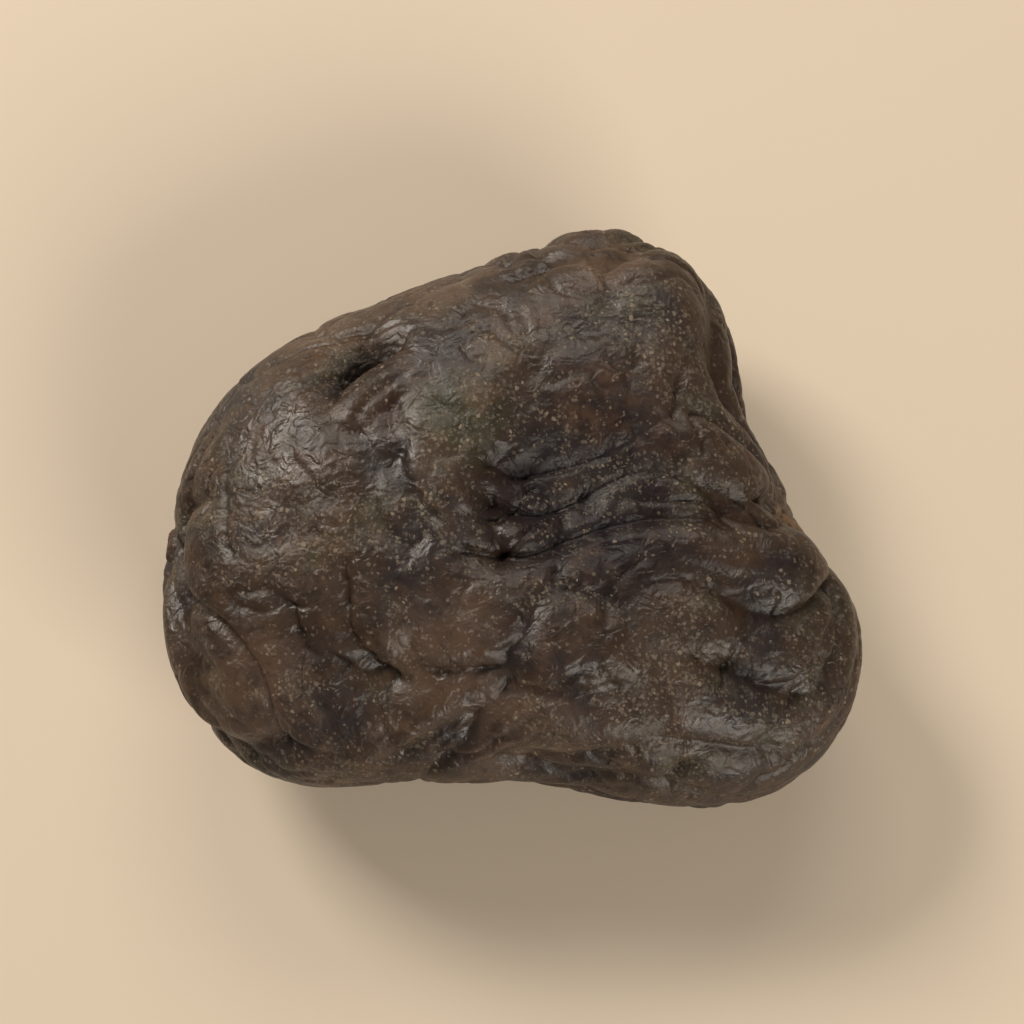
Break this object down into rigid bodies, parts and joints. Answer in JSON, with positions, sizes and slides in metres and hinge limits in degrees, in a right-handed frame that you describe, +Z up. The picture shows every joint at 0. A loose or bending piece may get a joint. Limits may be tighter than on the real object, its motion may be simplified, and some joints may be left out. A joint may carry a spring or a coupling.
{
  "type": "prune",
  "caption": "Plump half-dried plum lying on its broad side, with two rounded shoulders at the stem end and folds running from there to the apex.",
  "frame": {"origin": "middle of the bounding box at the bottom, on the surface that the fruit rests on", "axes": "+X towards the stem end and along the longest side, +Z up from the flat spot through the thickness, +Y to the taller shoulder"},
  "size_m": [0.042, 0.0356, 0.0165],
  "materials": {
    "skin": "near-black warm brown skin, moist satin with soft highlights, purple-black and olive patches, redder on thin ridges"
  },
  "bodies": {
    "root": {"prune": "skin"}
  },
  "joints": []
}
